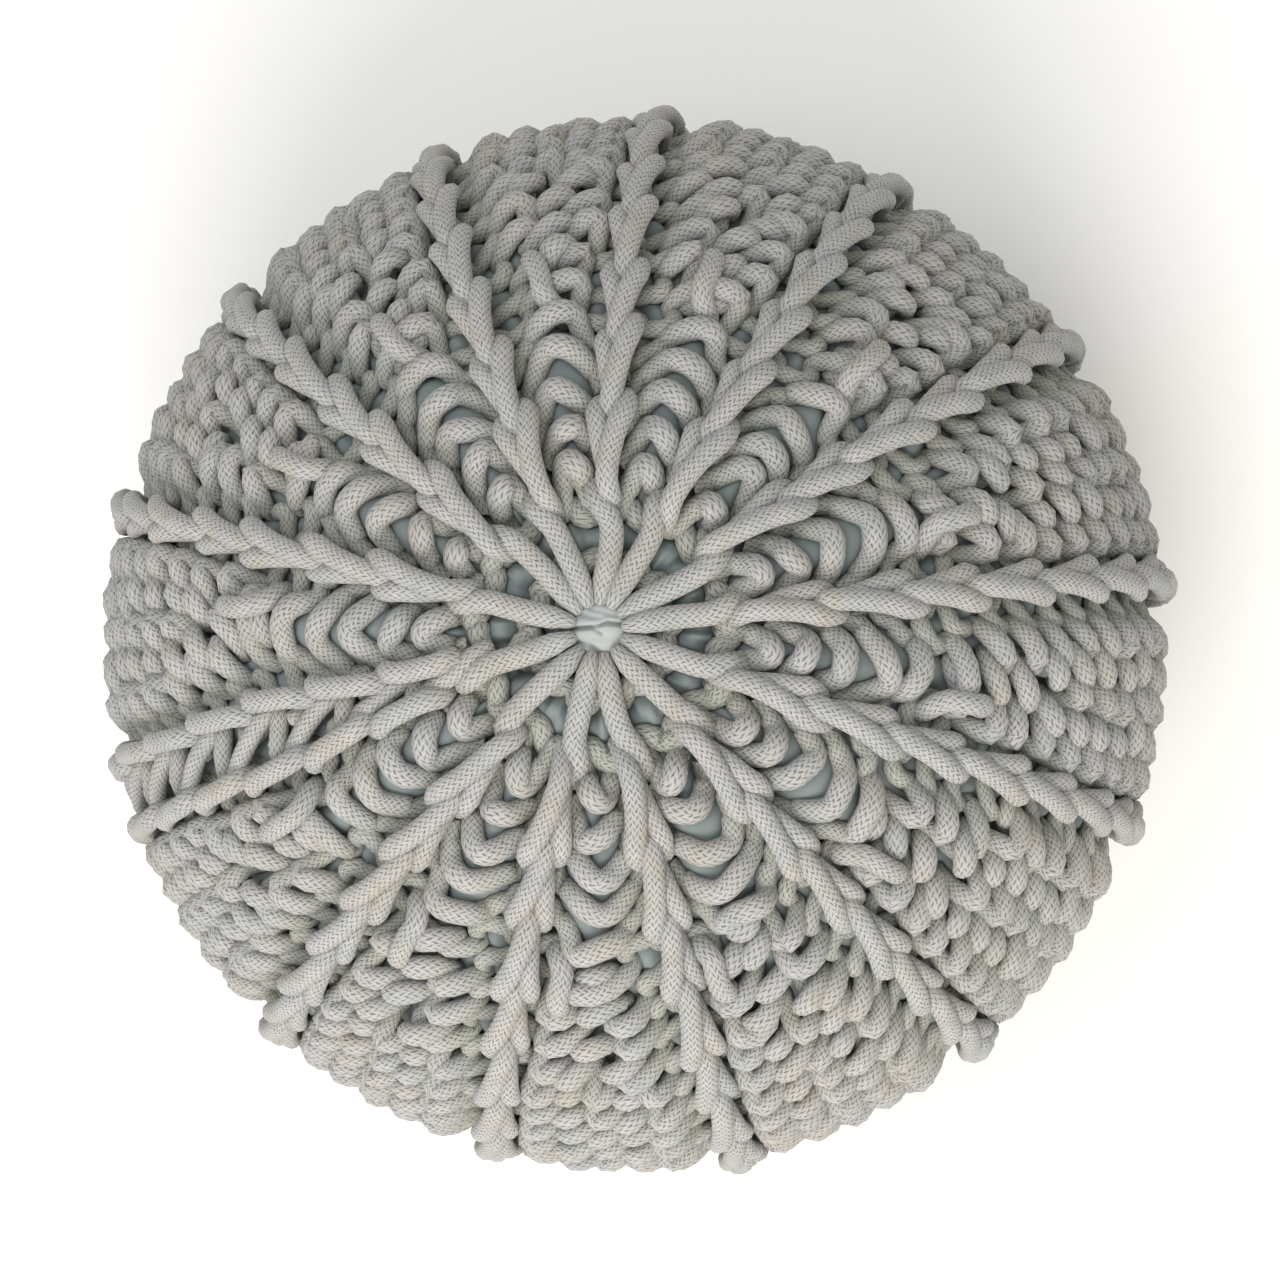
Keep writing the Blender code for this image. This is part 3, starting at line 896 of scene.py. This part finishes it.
def braidedCotton():
    # slope goes from 0 in the middle of a column of V's to 1 at its edge; added to the place along the cord,
    # it slants the strands, and every second arm is half a pitch further on. A dash of painted shade lies
    # near a strand's edge and halfway along its arm of the V, and a lighter painted shade runs along the
    # whole edge
    material, tree, shader = newMaterial("braidedCotton")
    place = tree.nodes.new("ShaderNodeTexCoord").outputs["Object"]
    cordMap = addNode(tree, "ShaderNodeUVMap", {"uv_map": "cordMap"})
    split = tree.nodes.new("ShaderNodeSeparateXYZ")
    tree.links.new(cordMap, split.inputs[0])
    column = mathNode(tree, "MULTIPLY", split.outputs["Y"], 2 / braidLook["columnWidth"])
    slope = mathNode(tree, "PINGPONG", column, 1.0)
    halfPitch = mathNode(tree, "MULTIPLY", mathNode(tree, "FLOOR", column), 0.5)
    alongCord = mathNode(tree, "MULTIPLY_ADD", split.outputs["X"], 1 / braidLook["pitch"], halfPitch)
    slanted = mathNode(tree, "MULTIPLY_ADD", slope, braidLook["slant"], alongCord)
    shaken = mathNode(tree, "MULTIPLY_ADD", noiseNode(tree, place, 700, 1), braidLook["shaking"], slanted)
    strand = mathNode(tree, "PINGPONG", shaken, 0.5)
    nearEdge = rangeNode(tree, strand, braidLook["edgeRange"], smooth=True)
    onArm = rangeNode(tree, mathNode(tree, "PINGPONG", slope, 0.5), braidLook["armRange"], smooth=True)
    strong = rangeNode(tree, noiseNode(tree, place, 420, 1), braidLook["dashRange"])
    dash = mathNode(tree, "MULTIPLY", nearEdge, onArm)
    dashShade = mathNode(tree, "MULTIPLY", dash, strong)
    # painted shade of the gaps between strands: some along every edge, more in the dashes
    shadedGaps = mathNode(tree, "MULTIPLY_ADD", nearEdge, braidLook["groove"], dashShade)
    patchShare = rangeNode(tree, noiseNode(tree, place, 34, 2), braidLook["patchRange"])
    shadeShare = rangeNode(tree, noiseNode(tree, place, 110, 2), braidLook["shadeRange"])
    tint = mixColours(tree, patchShare, braidLook["cool"], braidLook["warm"])
    cotton = mixColours(tree, shadeShare, braidLook["strand"], tint)
    # painted shade: a cord that lies deep is mixed towards the darker, more olive colour
    sunkenShade = tree.nodes.new("ShaderNodeAttribute")
    sunkenShade.attribute_name = "sunkenShade"
    withSunkenShade = mixColours(tree, sunkenShade.outputs["Fac"], cotton, braidLook["deep"])
    # the painted shade of the gaps is mixed over the cotton last
    tree.links.new(mixColours(tree, shadedGaps, withSunkenShade, braidLook["between"]), shader.inputs["Base Color"])
    fibres = noiseNode(tree, place, 2600, 2, 0.6)
    height = mathNode(tree, "MULTIPLY_ADD", fibres, 0.5, mathNode(tree, "MULTIPLY", shadedGaps, -1.0))
    bump = addNode(tree, "ShaderNodeBump", {"Strength": 0.55, "Distance": 0.0007}, {"Height": height})
    tree.links.new(bump, shader.inputs["Normal"])
    shader.inputs["Roughness"].default_value = braidLook["roughness"]
    shader.inputs["Specular IOR Level"].default_value = 0.25
    shader.inputs["Sheen Weight"].default_value = 0.15
    shader.inputs["Sheen Roughness"].default_value = 0.5
    return material


# Woven cotton casing, washed: smooth, matt, pale sage, a few soft creases
casingLook = {
    "cloth": "#a4a9a6",
    "worn": "#979e9c",
    "between": "#76807f",  # between the cords little light gets down to it, and it looks bluer
    "stainRange": (0.35, 0.7, 0.0, 1.0),
    "thread": 0.0009,  # the real threads are 0.4 mm apart, too fine to show
    "roughness": 0.85,
}


def wovenCasing():
    # two washed tones mixed by noise in the eye, and one darker tone of painted shade between the cords; the
    # relief is soft creases plus 0.15 of the threads
    material, tree, shader = newMaterial("wovenCotton")
    place = tree.nodes.new("ShaderNodeTexCoord").outputs["Object"]
    stainShare = rangeNode(tree, noiseNode(tree, place, 45, 3), casingLook["stainRange"])
    washed = mixColours(tree, stainShare, casingLook["cloth"], casingLook["worn"])
    shown = tree.nodes.new("ShaderNodeAttribute")
    shown.attribute_name = "shown"
    # painted shade: away from the eye the casing takes the darker, bluer colour between the cords
    colour = mixColours(tree, shown.outputs["Fac"], casingLook["between"], washed)
    tree.links.new(colour, shader.inputs["Base Color"])
    threads = noiseNode(tree, place, 1 / casingLook["thread"], 1)
    height = mathNode(tree, "MULTIPLY_ADD", threads, 0.15, noiseNode(tree, place, 140, 2))
    bump = addNode(tree, "ShaderNodeBump", {"Strength": 0.35, "Distance": 0.0012}, {"Height": height})
    tree.links.new(bump, shader.inputs["Normal"])
    shader.inputs["Roughness"].default_value = casingLook["roughness"]
    shader.inputs["Sheen Weight"].default_value = 0.1
    return material


cords = settleCords(knitRows() + drawSpokes() + drawAddedStitches() + drawSeam())
cordMaterial = braidedCotton()
for group in (*rowGroups, "spokes", "addedStitches", "seam"):
    piece = sweepCords(group, [cord for cord in cords if cord["group"] == group])
    piece.data.materials.append(cordMaterial)
    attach(piece, "root")
    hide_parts("knit_cover")
casing = casingPiece(cords)
casing.data.materials.append(wovenCasing())
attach(casing, "root")
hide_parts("casing")

# Pale floor, a large soft light from the lower side of the picture and a weaker one from its upper left. The
# camera looks almost straight down
studio = {
    "floor": "#f4f3f0",
    "floorHalf": 6,
    "floorCells": 24,
    "flatTo": 3.5,  # beyond this it curves up
    "lights": [
        # name, place, size, power, colour
        ("keyLight", (-0.02, -1.75, 1.7), 1.9, 53, "#fffaf5"),
        ("fillLight", (-0.8, 0.3, 2.2), 1.4, 15, "#f3f6ff"),
    ],
    "lightsAim": (0, 0, 0.2),
    "sky": "#f3f3f1",
    "skyStrength": 0.83,
    "elevation": 84.95,
    "azimuth": -23.6,
    "distance": 1.650,
    "lens": 100.8,
    "cameraAim": (0.0045, 0.001, 0.185),
}


def floorPiece():
    # a wide flat square that curves up at its edges, by the square of the way past the flat part
    side = studio["floorCells"] + 1
    across = np.linspace(-studio["floorHalf"], studio["floorHalf"], side)
    x, y = np.meshgrid(across, across, indexing="ij")
    lift = 0.4 * np.clip(np.hypot(x, y) - studio["flatTo"], 0, 3) ** 2
    points = np.stack([x, y, lift], -1).reshape(-1, 3)
    rowIndex, columnIndex = np.meshgrid(np.arange(side - 1), np.arange(side - 1), indexing="ij")
    corner = (rowIndex * side + columnIndex).reshape(-1)
    quads = np.stack([corner, corner + side, corner + side + 1, corner + 1], -1)
    floor = newPiece("studioFloor", points, [quads])
    material, tree, shader = newMaterial("paintedFloor")
    shader.inputs["Base Color"].default_value = linearColour(studio["floor"])
    shader.inputs["Roughness"].default_value = 0.9
    floor.data.materials.append(material)


def areaLight(name, place, size, power, colour):
    # a disk turned to the aim: its tilt is the angle from straight up, its turn that of the way there
    data = bpy.data.lights.new(name, "AREA")
    data.shape = "DISK"
    data.size = size
    data.energy = power
    data.color = linearColour(colour)[:3]
    light = bpy.data.objects.new(name, data)
    light.location = place
    away = np.array(place) - np.array(studio["lightsAim"])
    tilt = math.atan2(np.hypot(away[0], away[1]), away[2])
    light.rotation_euler = (tilt, 0, math.atan2(away[1], away[0]) + math.pi / 2)
    bpy.context.scene.collection.objects.link(light)


def lightUp():
    # the lights and an even pale sky
    for light in studio["lights"]:
        areaLight(*light)
    world = bpy.data.worlds.new("studioWorld")
    world.use_nodes = True
    sky = world.node_tree.nodes["Background"]
    sky.inputs["Color"].default_value = linearColour(studio["sky"])
    sky.inputs["Strength"].default_value = studio["skyStrength"]
    bpy.context.scene.world = world


def placeCamera():
    # at the distance from the aim, up by the elevation and round by the azimuth; the picture's up is +Y
    high = math.radians(studio["elevation"])
    turned = math.radians(studio["azimuth"])
    back = np.array([math.cos(high) * math.cos(turned), math.cos(high) * math.sin(turned), math.sin(high)])
    right = np.cross([0, 1, 0], back)
    right /= np.linalg.norm(right)
    data = bpy.data.cameras.new("photoCamera")
    data.lens = studio["lens"]
    data.sensor_width = 36
    data.clip_start = 0.05
    camera = bpy.data.objects.new("photoCamera", data)
    matrix = np.eye(4)
    matrix[:3, 0] = right
    matrix[:3, 1] = np.cross(back, right)
    matrix[:3, 2] = back
    matrix[:3, 3] = np.array(studio["cameraAim"]) + studio["distance"] * back
    camera.matrix_world = Matrix(matrix.tolist())
    bpy.context.scene.collection.objects.link(camera)
    bpy.context.scene.camera = camera


floorPiece()
lightUp()
bpy.context.scene.view_settings.view_transform = "Standard"
placeCamera()
print("camera and light placed")
